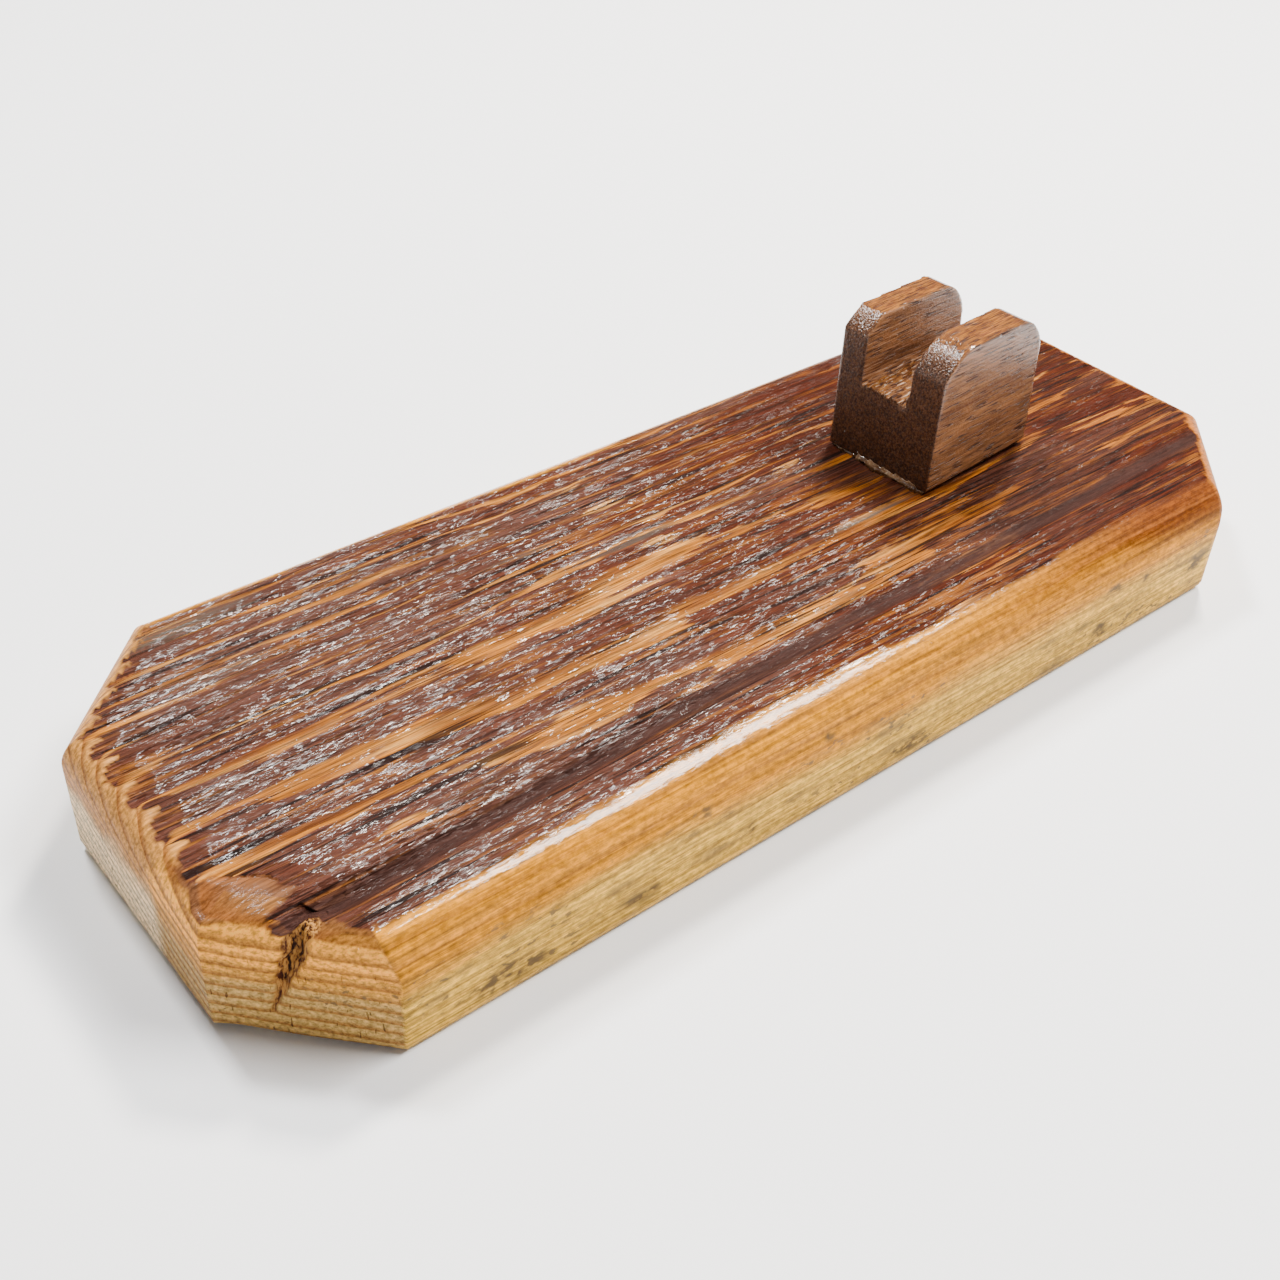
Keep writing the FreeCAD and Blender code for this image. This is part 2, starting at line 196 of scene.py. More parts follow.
def build_board_shell():
    """The board's plain skin without its underside: the points, the quads, how many points go once round
    the wall, and each wall point's outward direction, which is zero for a point inside the top."""
    heights = wall_heights()
    loops = [outline_points(octagon(insets_at(z))) for z in heights]
    around = len(loops[0])
    walls = np.vstack([np.column_stack([loop, np.full(around, z)]) for loop, z in zip(loops, heights)])
    quads = []
    for level in range(len(heights) - 1):
        low, high = level * around, (level + 1) * around
        for station in range(around):
            following = (station + 1) % around
            quads.append((low + station, low + following, high + following, high + station))

    rim = (len(heights) - 1) * around
    cut, side, rows = CUT_STATIONS, SIDE_STATIONS, TOP_ROWS
    columns = 2 * cut + side
    near_rim = [rim + (around - cut + i) % around for i in range(columns + 1)]
    far_start = side + cut + rows + columns
    far_rim = [rim + far_start - i for i in range(columns + 1)]
    right_rim = [rim + side + cut + k for k in range(rows + 1)]
    left_rim = [rim + around - cut - k for k in range(rows + 1)]
    grid = np.full((columns + 1, rows + 1), -1)
    grid[:, 0] = near_rim
    grid[:, rows] = far_rim
    grid[0, :] = left_rim
    grid[columns, :] = right_rim
    share = np.arange(1, rows)[:, None] / rows
    inner = []
    for column in range(1, columns):
        start, end = walls[near_rim[column]], walls[far_rim[column]]
        grid[column, 1:rows] = len(walls) + (column - 1) * (rows - 1) + np.arange(rows - 1)
        inner.append(start * (1 - share) + end * share)
    points = np.vstack([walls] + inner)
    for column in range(columns):
        for row in range(rows):
            quads.append((
                grid[column, row], grid[column + 1, row], grid[column + 1, row + 1], grid[column, row + 1],
            ))

    outward = np.zeros((len(points), 2))
    plain = octagon(np.zeros(8))
    along = np.roll(plain, -1, axis=0) - plain
    away = np.stack([along[:, 1], -along[:, 0]], axis=1) / np.linalg.norm(along, axis=1, keepdims=True)
    counts = [side, cut, rows, cut] * 2
    outward[:len(walls)] = np.tile(np.repeat(away, counts, axis=0), (len(heights), 1))
    return points, quads, around, outward


# ---- relief of the weathered top ----

CREST = 0.52          # part of a ring where the brown terrace has risen to its crest
RISE_BEND, FALL_BEND = 0.8, 1.3        # how the two sides of a terrace curve
RELIEF_LEFT, RELIEF_RIGHT = 1.05, 0.60   # depth of the valleys at the left end and from the middle on

SPLIT_LEFT_Y, SPLIT_RIGHT_Y = -31.2, -27.2   # the split's middle at the board's two ends
SPLIT_HALF_LEFT, SPLIT_HALF_RIGHT = 2.3, 1.3   # its half width there
SPLIT_DEEP, SPLIT_SHALLOW = 2.7, 0.7   # its depth at the left end and from the middle on
SPLIT_BEND = 2.2      # how steep its sides are
SPLIT_DARK_HALF = 2.0     # half width of its dark colour, partly the split's own mauve grey and partly painted shade


def terrace(phase):
    """Height along one ring, 0 to 1: the brown face rises to its crest, and the amber face falls away."""
    rise = np.clip(phase / CREST, 0, 1) ** RISE_BEND
    fall = np.clip((1 - phase) / (1 - CREST), 0, 1) ** FALL_BEND
    return np.where(phase < CREST, rise, fall)


def split_line(points):
    """Across-the-grain distance from the split's middle, signed, towards the far side."""
    part = (points[:, 0] - LEFT) / (RIGHT - LEFT)
    middle = SPLIT_LEFT_Y + (SPLIT_RIGHT_Y - SPLIT_LEFT_Y) * part
    flat = points.copy()
    flat[:, 1:] = 0
    wander = 0.9 * grain_noise(flat, (38, 1, 1), 21) + 0.3 * grain_noise(flat, (9, 1, 1), 22)
    return points[:, 1] - middle - wander


def top_depth(points, rings):
    """How deep the weathered surface lies under the board's flat top."""
    x = points[:, 0]
    strength = RELIEF_LEFT + (RELIEF_RIGHT - RELIEF_LEFT) * smooth_step(-100, 0, x)
    strength = strength * (0.75 + 0.5 * grain_noise(points, (60, 12, 50), 23))
    depth = strength * (1 - terrace(rings % 1.0))
    depth += 0.10 * (1 + grain_noise(points, (26, 2.2, 50), 24))
    depth += 0.09 * (1 + grain_noise(points, (9, 1.1, 50), 25))
    gap = split_line(points)
    part = (x - LEFT) / (RIGHT - LEFT)
    half = SPLIT_HALF_LEFT + (SPLIT_HALF_RIGHT - SPLIT_HALF_LEFT) * part
    cut = SPLIT_DEEP + (SPLIT_SHALLOW - SPLIT_DEEP) * smooth_step(0.0, 0.55, part)
    cut = cut * (0.85 + 0.3 * grain_noise(points, (13, 60, 50), 26))
    depth += cut * np.exp(-(np.abs(gap) / half) ** SPLIT_BEND)
    return depth


# The near left cut, which is the one in front: its outward direction, its start and its length.
CUT_FACE = np.array([-CUT_LEFT_NEAR[1], -CUT_LEFT_NEAR[0]]) / math.hypot(*CUT_LEFT_NEAR)
CUT_START = np.array([LEFT, NEAR + CUT_LEFT_NEAR[1]])   # where the near left cut meets the left end
CUT_LENGTH = math.hypot(*CUT_LEFT_NEAR)
NOTCH = 16.0         # where the split comes out between the cut's two humps, along the cut
HUMP_FALL = 1.3      # how far a hump falls from its middle to its ends

# Where sanding has gone below the weathered top: how far in it reaches, its least depth, and how much
# deeper it is at the edge.
END_SANDING = (4.2, 0.30, 0.9)
CUT_SANDING = (7.2, 0.45, 1.5)
HARD_REACH = 1.8     # how much further in sanding reaches on a hard band's crest
NOWHERE = -50.0      # stands for a limit that is far away


def along_cut(points):
    """Distance along the near left cut from where it meets the left end."""
    return (points[:, :2] - CUT_START) @ np.array([-CUT_FACE[1], CUT_FACE[0]])


def sanding_drop(points, rings):
    """How deep sanding has taken the left end and the near left cut under the flat top, and how far each
    point lies outside the sanding's upper limit. The limit is ragged: it lies further in on hard bands."""
    hard = terrace(rings % 1.0)
    ragged = 1.1 * grain_noise(points, (400, 3.5, 400), 41) + 0.4 * grain_noise(points, (400, 1.2, 400), 42)
    from_end = points[:, 0] - LEFT
    from_cut = (CUT_START - points[:, :2]) @ CUT_FACE
    drop = np.zeros(len(points))
    limit = np.full(len(points), NOWHERE)
    for inward, (reach, least, most) in ((from_end, END_SANDING), (from_cut, CUT_SANDING)):
        line = reach + ragged + HARD_REACH * hard
        part = np.clip((line - inward) / line, 0, 1)
        drop = np.maximum(drop, np.where(inward < line, least + most * part ** 2, 0))
        limit = np.maximum(limit, line - inward)
    station = along_cut(points)
    left_hump = np.abs(station - NOTCH / 2) / (NOTCH / 2)
    right_hump = np.abs(station - (NOTCH + CUT_LENGTH) / 2) / ((CUT_LENGTH - NOTCH) / 2)
    fall = np.clip(np.where(station < NOTCH, left_hump, right_hump), 0, 1.1) ** 2
    on_hump = smooth_step(8, 2, from_cut) * smooth_step(-0.5, 0.5, limit)
    return drop + HUMP_FALL * fall * on_hump, limit


CRACK_LOW, CRACK_HIGH = 5.0, 20.0     # heights between which the cut's face is torn open
CRACK_STATION, CRACK_HEIGHT = 9.7, 6.3   # a point of the crack, along the cut and above the floor
CRACK_LEAN = 0.32     # how far along the cut it goes for each millimetre that it climbs
CRACK_HALF = (0.45, 0.9)    # its half width at the low end, and what the high end adds
CRACK_DEPTH = (0.5, 2.0)    # its depth, likewise
TORN_AT = 1.6         # depth at which the crack's wood looks fully torn

SANDED_BAND = 8.0     # how far below the flat top the relief may reach
STEP_WIDTH = 0.45     # half width of the painted shade along the step at the sanding's limit
FOOT_LIFT = 0.7       # how far the cut's bottom edge rises off the floor
FOOT_LIFT_TOP = 2.5   # height up to which that lift is felt


def tear(points, outward):
    """How far the torn crack in the near left cut's face goes in at each point."""
    on_cut = outward @ CUT_FACE > 0.99
    height = points[:, 2]
    middle = CRACK_STATION + CRACK_LEAN * (height - CRACK_HEIGHT)
    middle = middle + 0.5 * grain_noise(points * (0, 0, 1), (1, 1, 2.4), 43)
    part = smooth_step(CRACK_LOW, CRACK_HIGH, height)
    gap = along_cut(points) - middle
    half = CRACK_HALF[0] + CRACK_HALF[1] * part
    depth = (CRACK_DEPTH[0] + CRACK_DEPTH[1] * part) * smooth_step(CRACK_LOW - 0.6, CRACK_LOW + 0.8, height)
    return np.where(on_cut, depth * np.exp(-(gap / half) ** 2), 0)


def foot_lift(points, outward):
    """How far the near left cut's bottom edge is lifted off the floor, most of all at its left."""
    station = along_cut(points)
    lifted = FOOT_LIFT * smooth_step(15, 3, station) * smooth_step(-1, 4, station)
    is_foot = (outward @ CUT_FACE > 0.99) & (points[:, 2] < FOOT_LIFT_TOP)
    return np.where(is_foot, lifted * (1 - points[:, 2] / FOOT_LIFT_TOP), 0)


def apply_relief(points, outward):
    """Lowers the top to its weathered relief or to where sanding has gone deeper, opens the crack in the
    cut and lifts its foot. Returns the moved points and the values that the material reads."""
    rings = ring_number(points)
    flat = points.copy()
    flat[:, 2] = TOP
    flat_rings = ring_number(flat)
    depth = top_depth(flat, flat_rings)
    drop, limit = sanding_drop(points, flat_rings)
    height = points[:, 2]
    band = TOP - SANDED_BAND
    sanded = np.minimum(height, TOP - drop * smooth_step(TOP - 5, TOP - 1.5, height))
    weathered = TOP - depth
    exposed = smooth_step(-0.06, 0.10, sanded - weathered) * smooth_step(band, band + 2, height)
    # Painted shade: a dark band along the step where sanding meets the weathered top.
    step_shade = np.exp(-((limit + 0.2) / STEP_WIDTH) ** 2) * smooth_step(0.1, 0.4, drop + 0.3 - depth)
    inward = tear(points, outward)
    torn = np.clip(inward / TORN_AT, 0, 1) ** 0.7
    moved = points.copy()
    moved[:, 2] = np.where(height > band, np.minimum(sanded, weathered), height) + foot_lift(points, outward)
    moved[:, :2] -= outward * inward[:, None]
    near_cut = smooth_step(12, 9, (CUT_START - points[:, :2]) @ CUT_FACE)
    is_wall = np.abs(outward).sum(axis=1) > 0.5
    ending = np.where(is_wall, np.abs(outward[:, 0]) ** 0.5, (limit > -3).astype(float))
    return moved, rings, exposed, step_shade, torn, ending, near_cut


def make_mesh_object(name, points, faces, attributes):
    """A smooth-shaded mesh object from millimetre points, with float attributes on its points."""
    mesh = bpy.data.meshes.new(name)
    mesh.from_pydata((points * MM).tolist(), [], [tuple(int(i) for i in face) for face in faces])
    for label, values in attributes.items():
        mesh.attributes.new(label, "FLOAT", "POINT").data.foreach_set("value", values.astype(np.float32))
    mesh.polygons.foreach_set("use_smooth", np.ones(len(mesh.polygons), bool))
    made = bpy.data.objects.new(name, mesh)
    bpy.context.scene.collection.objects.link(made)
    return made


def spots(points, places):
    """1 in the middle of each elongated spot, fading out round it. A spot is its place along the points'
    first two axes, then its half length and half width."""
    total = np.zeros(len(points))
    ragged = 0.35 * grain_noise(points, (7, 0.8, 7), 51)
    for x, y, half_length, half_width in places:
        away = np.hypot((points[:, 0] - x) / half_length, (points[:, 1] - y) / half_width) + ragged
        total = np.maximum(total, smooth_step(1.2, 0.6, away))
    return total


# Spots on the top, as x, y, half length and half width, and on the near side, as x, z and the same.
GRIME = ((-92, 37, 14, 2.2), (-88, 22, 9, 1.0), (-13, 12, 13, 1.1), (-30, 20, 10, 0.8), (30, -8, 14, 0.7))
BARE = ((-8, 9.5, 5, 1.6), (-9, 24, 5, 1.4), (-12, 33, 4, 1.0), (28, 14, 6, 0.8))
SIDE_GRIME = (
    (62, 14, 3.0, 1.8), (60, 5, 3.0, 2.2), (72, 13, 1.4, 1.4), (90, 9, 3.0, 2.6), (6, 4, 5.0, 2.0),
    (-31, 6, 1.2, 2.6), (-54, 5, 4.0, 1.6), (-80, 5, 8.0, 3.0), (-42, 16, 1.2, 1.2), (-15, 17, 1.2, 1.2),
)


def make_board():
    points, quads, around, outward = build_board_shell()
    moved, rings, exposed, step_shade, torn, ending, near_cut = apply_relief(points, outward)
    split = np.exp(-(split_line(moved) / SPLIT_DARK_HALF) ** 2) * exposed
    board = make_mesh_object("board_skin", moved, quads, {
        "ring": rings,
        "weathered": exposed,
        "split": split,
        "ending": ending,
        "cut_top": near_cut,
        "step_shade": step_shade,
        "torn": torn,
        "grime": spots(moved, GRIME) * exposed,
        "bare": spots(moved, BARE) * exposed,
        "side_grime": spots(moved[:, [0, 2, 1]], SIDE_GRIME) * (outward[:, 1] < -0.99),
    })
    close_underside(board, around)
    board.data.materials.append(softwood())
    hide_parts("base_board")
    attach(board, "root")


HOLE_SIDES = 48
HOLE_DEPTH = 12.0     # the hole is closed here, inside the board, where the screw hides its end


def close_underside(board, around):
    """Fills the underside round the countersunk hole, and gives the hole its walls."""
    mesh = bmesh.new()
    mesh.from_mesh(board.data)
    mesh.verts.ensure_lookup_table()
    foot = [mesh.verts[i] for i in range(around)]
    turns = [2 * math.pi * i / HOLE_SIDES for i in range(HOLE_SIDES)]
    rings = []
    sink_depth = SINK_RADIUS - HOLE_RADIUS
    for radius, z in ((SINK_RADIUS, 0.0), (HOLE_RADIUS, sink_depth), (HOLE_RADIUS, HOLE_DEPTH)):
        ring = []
        for turn in turns:
            x = SCREW_AXIS[0] + radius * math.cos(turn)
            y = SCREW_AXIS[1] + radius * math.sin(turn)
            ring.append(mesh.verts.new((x * MM, y * MM, z * MM)))
        rings.append(ring)
    for low, high in zip(rings, rings[1:]):
        for i in range(HOLE_SIDES):
            j = (i + 1) % HOLE_SIDES
            mesh.faces.new((low[j], low[i], high[i], high[j]))
    mesh.faces.new(rings[-1])
    edges = [mesh.edges.get((foot[i - 1], foot[i])) for i in range(around)]
    edges += [mesh.edges.get((rings[0][i - 1], rings[0][i])) for i in range(HOLE_SIDES)]
    bmesh.ops.triangle_fill(mesh, use_beauty=True, edges=edges, normal=(0, 0, -1))
    mesh.to_mesh(board.data)
    mesh.free()


# ---- materials: a short way to write shader nodes ----

STEP_SOCKETS = ("Value", "From Min", "From Max", "To Min", "To Max")
SHIFT_SHARES = (1.0, 1.7, 0.6)    # how a noise's shift is shared out over the three axes


class Shader:
    """A material's node tree. Each method adds a node and returns its output. Numbers that a method takes
    may be plain values or the outputs of other nodes."""

    def __init__(self, name):
        self.material = bpy.data.materials.new(name)
        self.material.use_nodes = True
        self.tree = self.material.node_tree
        self.surface = self.tree.nodes["Principled BSDF"]
        coordinates = self.tree.nodes.new("ShaderNodeTexCoord")
        self.place = self.vector("SCALE", coordinates.outputs["Object"], scale=1 / MM)

    def connect(self, socket, value):
        """Links another node's output to a socket, or sets the socket to a plain value."""
        if isinstance(value, bpy.types.NodeSocket):
            self.tree.links.new(value, socket)
        else:
            socket.default_value = value

    def vector(self, operation, first, second=None, scale=None):
        node = self.tree.nodes.new("ShaderNodeVectorMath")
        node.operation = operation
        self.connect(node.inputs[0], first)
        if second is not None:
            self.connect(node.inputs[1], second)
        if scale is not None:
            self.connect(node.inputs["Scale"], scale)
        return node.outputs[0]

    def math(self, operation, first, second=0.0):
        node = self.tree.nodes.new("ShaderNodeMath")
        node.operation = operation
        self.connect(node.inputs[0], first)
        self.connect(node.inputs[1], second)
        return node.outputs[0]

    def times(self, first, second):
        return self.math("MULTIPLY", first, second)

    def plus(self, first, second):
        return self.math("ADD", first, second)

    def minus(self, first, second):
        return self.math("SUBTRACT", first, second)

    def attribute(self, name):
        node = self.tree.nodes.new("ShaderNodeAttribute")
        node.attribute_name = name
        return node.outputs["Fac"]

    def axis(self, place, axis_name):
        node = self.tree.nodes.new("ShaderNodeSeparateXYZ")
        self.connect(node.inputs[0], place)
        return node.outputs[axis_name]

    def facing(self, axis_name):
        """How much the surface faces along an axis, from -1 to 1."""
        geometry = self.tree.nodes.new("ShaderNodeNewGeometry")
        return self.axis(geometry.outputs["Normal"], axis_name)

    def step(self, value, low, high, start=0.0, end=1.0):
        """A smooth step of value from low to high, which may fall as well as rise."""
        node = self.tree.nodes.new("ShaderNodeMapRange")
        node.interpolation_type = "SMOOTHSTEP"
        for socket, number in zip(STEP_SOCKETS, (value, low, high, start, end)):
            self.connect(node.inputs[socket], number)
        return node.outputs[0]

    def cells(self, sizes, shift):
        """The place measured in features of sizes (x, y, z) millimetres, and shifted."""
        scaled = self.vector("MULTIPLY", self.place, tuple(1 / size for size in sizes))
        return self.vector("ADD", scaled, tuple(shift * share for share in SHIFT_SHARES))

    def noise(self, sizes, detail=2.0, roughness=0.5, shift=0.0):
        """Noise from 0 to 1 with features of sizes (x, y, z) millimetres."""
        node = self.tree.nodes.new("ShaderNodeTexNoise")
        node.noise_dimensions = "3D"
        self.connect(node.inputs["Vector"], self.cells(sizes, shift))
        node.inputs["Scale"].default_value = 1.0
        node.inputs["Detail"].default_value = detail
        node.inputs["Roughness"].default_value = roughness
        return node.outputs["Fac"]

    def flakes(self, sizes, lean, shift=0.0):
        """Height of small flat flakes of sizes (x, y, z) millimetres, each of which leans its own way."""
        scaled = self.cells(sizes, shift)
        flake = self.tree.nodes.new("ShaderNodeTexVoronoi")
        flake.inputs["Scale"].default_value = 1.0
        self.connect(flake.inputs["Vector"], scaled)
        offset = self.vector("SUBTRACT", scaled, flake.outputs["Position"])
        either_way = self.vector("SUBTRACT", flake.outputs["Color"], (0.5, 0.5, 0.5))
        tilt = self.vector("MULTIPLY", either_way, lean)
        product = self.tree.nodes.new("ShaderNodeVectorMath")
        product.operation = "DOT_PRODUCT"
        self.connect(product.inputs[0], offset)
        self.connect(product.inputs[1], tilt)
        return product.outputs["Value"]

    def mix(self, part, first, second, blend="MIX"):
        """Colour first where part is 0 and second where it is 1."""
        node = self.tree.nodes.new("ShaderNodeMix")
        node.data_type = "RGBA"
        node.blend_type = blend
        self.connect(node.inputs["Factor"], part)
        for socket, colour in (("A", first), ("B", second)):
            is_output = isinstance(colour, bpy.types.NodeSocket)
            self.connect(node.inputs[socket], colour if is_output else (*colour, 1))
        return node.outputs["Result"]

    def tint(self, colour, filter_colour):
        """The colour as seen through a coloured filter."""
        return self.mix(1.0, colour, filter_colour, "MULTIPLY")

    def dim(self, colour, factor):
        """The colour times a factor."""
        return self.vector("SCALE", colour, scale=factor)

    def bump(self, height, depth):
        """A normal from a height of 0 to 1 that stands for depth millimetres."""
        node = self.tree.nodes.new("ShaderNodeBump")
        node.inputs["Distance"].default_value = depth * MM
        self.connect(node.inputs["Height"], height)
        return node.outputs["Normal"]

    def set(self, **sockets):
        """Sets or links the surface's own sockets, named with _ for a space."""
        for label, value in sockets.items():
            self.connect(self.surface.inputs[label.replace("_", " ")], value)


# ---- the board's wood ----

STRAW = (0.58, 0.33, 0.045)
SIDE_AMBER = (0.50, 0.19, 0.002)
ROUND_RED = (0.13, 0.032, 0.003)
LATE_WOOD = (0.20, 0.065, 0.014)
STAIN = (0.13, 0.085, 0.040)
SIDE_STAIN = (0.10, 0.062, 0.026)

# Pale sanded end grain, made paler still by painted light on the end faces.
END_PALE_AND_LIGHT = (0.84, 0.63, 0.36)
END_TAN = (0.48, 0.21, 0.045)
CUT_TAN = (0.46, 0.28, 0.09)
CUT_AMBER = (0.60, 0.27, 0.045)
CUT_ORANGE = (1.0, 0.42, 0.055)
PURPLE = (0.085, 0.032, 0.018)
SPLINTER = (0.42, 0.19, 0.045)
RIGHT_END_FILTER = (0.72, 0.50, 0.20)

RED_BROWN = (0.052, 0.0095, 0.0022)
MAUVE_BROWN = (0.060, 0.021, 0.013)
AMBER = (0.31, 0.105, 0.009)
TAN = (0.40, 0.18, 0.040)
BARE_WOOD = (0.40, 0.185, 0.045)
GREY = (0.055, 0.045, 0.035)
SPLIT_MAUVE = (0.060, 0.025, 0.019)
# Dark red of painted shade, along the sanding's step and in the torn crack.
SHADE_RED = (0.045, 0.010, 0.003)
# Near black: the colour of cracks and grooves, and of painted shade in the ring valleys, the split and the
# torn crack.
CRACK_AND_SHADE_DARK = (0.006, 0.002, 0.0015)
RIGHT_FILTER = (0.55, 0.38, 0.25)

FLAKE_SIZES = (1.6, 0.29, 3.0)    # the flaky varnish: size, and how much it leans
FLAKE_LEAN = (2.4, 0.78, 0.0)
WOOD_RELIEF = 0.25                # millimetres that a relief of 1 stands for


class Softwood(Shader):
    """Varnished softwood: brown and amber terraces on the brushed top, pale sanded wood below."""

    def __init__(self):
        super().__init__("softwood_varnished")
        self.weathered = self.attribute("weathered")   # 1 on the brushed top, 0 on sanded wood
        self.ending = self.attribute("ending")         # 1 on the board's ends and its corner cuts
        self.torn = self.attribute("torn")             # 1 deep in the near left cut's crack
        self.split = self.attribute("split")           # 1 in the middle of the split
        self.on_cut = self.attribute("cut_top")        # 1 at the near left cut and on its humps
        self.on_cut_face = self.times(self.on_cut, self.ending)
        self.height = self.axis(self.place, "Z")
        self.along = self.axis(self.place, "X")
        self.phase = self.ring_phase()
        self.past_edge = self.minus(self.phase, self.amber_edge())
        ring_end = self.step(self.phase, 0.90, 1.0, 1.0, 0.0)
        self.amber_part = self.times(self.step(self.past_edge, -0.02, 0.06), ring_end)
        self.late = self.late_wood()
        self.splinter = self.noise((0.7, 0.7, 2.6), 3, roughness=0.7, shift=5.9)

    def ring_phase(self):
        """Place within a growth ring, 0 to 1. On the weathered top long tongues push it to and fro."""
        to_right = self.step(self.along, -70.0, 60.0)
        tongue = self.minus(self.noise((38, 3.0, 3.0), 4, roughness=0.62), 0.5)
        tongue = self.times(tongue, self.plus(0.5, self.times(to_right, 1.1)))
        return self.math("FRACT", self.plus(self.attribute("ring"), self.times(tongue, self.weathered)))

    def amber_edge(self):
        """The phase at which a ring on the weathered top turns from brown to amber."""
        across = self.axis(self.place, "Y")
        reach = self.minus(self.noise((30, 6, 30), 2, shift=3.1), self.step(across, 2.0, 18.0, 0.40, 0.30))
        return self.plus(CREST, self.times(reach, 1.4))

    def late_wood(self):
        """A ring's dark line, softer and broader on the near left cut's face."""
        sharp = self.times(self.step(self.phase, 0.60, 0.93), self.step(self.phase, 0.95, 1.0, 1.0, 0.0))
        soft = self.times(self.step(self.phase, 0.30, 0.80), self.step(self.phase, 0.85, 1.0, 1.0, 0.0))
        return self.plus(sharp, self.times(self.minus(soft, sharp), self.on_cut_face))

    def brown_colour(self):
        """The hard bands: mauve at the left and redder to the right, with a few amber streaks."""
        red_part = self.step(self.noise((50, 8, 30), 3, shift=7.7), 0.36, 0.58)
        red_part = self.times(red_part, self.step(self.along, -90.0, 10.0, 0.3, 1.0))
        streak = self.step(self.noise((20, 1.0, 1.0), 4, shift=1.3), 0.50, 0.76, 0.0, 0.6)
        return self.mix(streak, self.mix(red_part, MAUVE_BROWN, RED_BROWN), AMBER)

    def amber_colour(self):
        """The soft bands: amber and tan, redder further from their edge and in broad patches."""
        amber = self.mix(self.step(self.noise((24, 1.8, 5), 3, shift=5.5), 0.42, 0.70), AMBER, TAN)
        amber = self.mix(self.step(self.past_edge, 0.08, 0.36, 0.0, 0.75), amber, RED_BROWN)
        patch = self.step(self.noise((26, 5, 20), 2, shift=6.1), 0.47, 0.67)
        return self.mix(self.times(patch, 0.5), amber, RED_BROWN)

    def top_colour(self):
        """The weathered top, with its bare spots, fine fibres, dark grooves, grime, painted shade in the
        ring valleys, and the split, whose dark colour is partly painted shade.
        """
        top = self.mix(self.amber_part, self.brown_colour(), self.amber_colour())
        bare = self.step(self.noise((9, 0.9, 0.9), 3, shift=3.9), 0.40, 0.55)
        bare = self.times(self.attribute("bare"), bare)
        top = self.mix(self.step(bare, 0.1, 0.8, 0.0, 0.85), top, BARE_WOOD)
        fibre = self.noise((16, 0.32, 0.32), 4, roughness=0.7, shift=2.2)
        top = self.dim(top, self.step(fibre, 0.28, 0.72, 0.22, 1.85))
        top = self.mix(self.step(self.along, -20.0, 60.0, 0.0, 0.62), top, self.tint(top, RIGHT_FILTER))
        groove = self.step(self.noise((38, 0.8, 0.8), 3, shift=9.4), 0.575, 0.625)
        top = self.mix(self.times(groove, 0.9), top, CRACK_AND_SHADE_DARK)
        # Painted shade: a dark line where each ring's terrace falls into the valley before the next ring.
        ring_start = self.step(self.phase, 0.0, 0.05, 1.0, 0.0)
        crevice_shade = self.math("MAXIMUM", self.step(self.phase, 0.93, 1.0), ring_start)
        top = self.mix(self.times(crevice_shade, self.step(fibre, 0.35, 0.55, 0.85, 0.2)), top, CRACK_AND_SHADE_DARK)
        grime = self.times(self.attribute("grime"), self.step(fibre, 0.40, 0.60, 0.9, 0.25))
        top = self.mix(grime, top, GREY)
        # The split's dark colour: partly its own mauve grey, partly painted shade in the groove.
        in_split = self.step(self.split, 0.2, 0.75, 0.0, 0.92)
        return self.mix(in_split, top, self.mix(fibre, CRACK_AND_SHADE_DARK, SPLIT_MAUVE))

    def stain_height(self):
        """Height, shifted by a slow noise, so that a change of colour has no level edge."""
        reach = self.step(self.on_cut_face, 0.3, 0.9, 9.0, 2.5)
        wander = self.minus(self.noise((50, 9, 6), 3, shift=4.4), 0.5)
        return self.plus(self.height, self.times(wander, reach))

    def end_colour(self, stain):
        """The ends and cuts: pale, partly painted light, and tan above. The near left cut is orange above,
        with purple humps.
        """
        # Painted light: the ends are painted paler than their sanded end grain, as if lit from the left.
        tone = self.mix(self.step(stain, 11.0, 17.0), END_PALE_AND_LIGHT, END_TAN)
        cut_tone = self.mix(self.step(stain, 10.0, 13.5), CUT_TAN, CUT_AMBER)
        tone = self.mix(self.on_cut, tone, cut_tone)
        tone = self.mix(self.times(self.step(stain, 14.5, 17.0), self.on_cut), tone, CUT_ORANGE)
        facing_up = self.step(self.facing("Z"), 0.55, 0.85, 0.0, 0.95)
        tone = self.mix(self.times(facing_up, self.on_cut), tone, PURPLE)
        return self.mix(self.step(self.along, -20.0, 20.0), tone, self.tint(tone, RIGHT_END_FILTER))

    def sanded_colour(self):
        """The sides, ends, cuts and roundings, with ring lines, fine grain, stains and cracks."""
        stain = self.stain_height()
        sanded = self.mix(self.step(stain, 10.0, 17.0), STRAW, SIDE_AMBER)
        to_right = self.step(self.along, 10.0, 80.0)
        sanded = self.mix(self.times(to_right, self.step(stain, 16.0, 21.0)), sanded, ROUND_RED)
        sanded = self.mix(self.ending, sanded, self.end_colour(stain))
        ring_line = self.times(self.late, self.step(self.ending, 0.0, 1.0, 0.35, 0.80))
        sanded = self.mix(ring_line, sanded, LATE_WOOD)
        fibre = self.noise((30, 0.60, 0.60), 4, roughness=0.7, shift=6.6)
        sanded = self.dim(sanded, self.step(fibre, 0.3, 0.7, 0.5, 1.45))
        mottle = self.noise((1.6, 0.9, 0.9), 4, roughness=0.7, shift=1.6)
        mottle = self.step(mottle, 0.32, 0.68, -0.32, 0.32)
        mottle = self.times(mottle, self.step(self.ending, 0.0, 1.0, 1.0, 0.2))
        sanded = self.dim(sanded, self.plus(1.0, mottle))
        return self.with_cracks(self.with_stains(sanded))

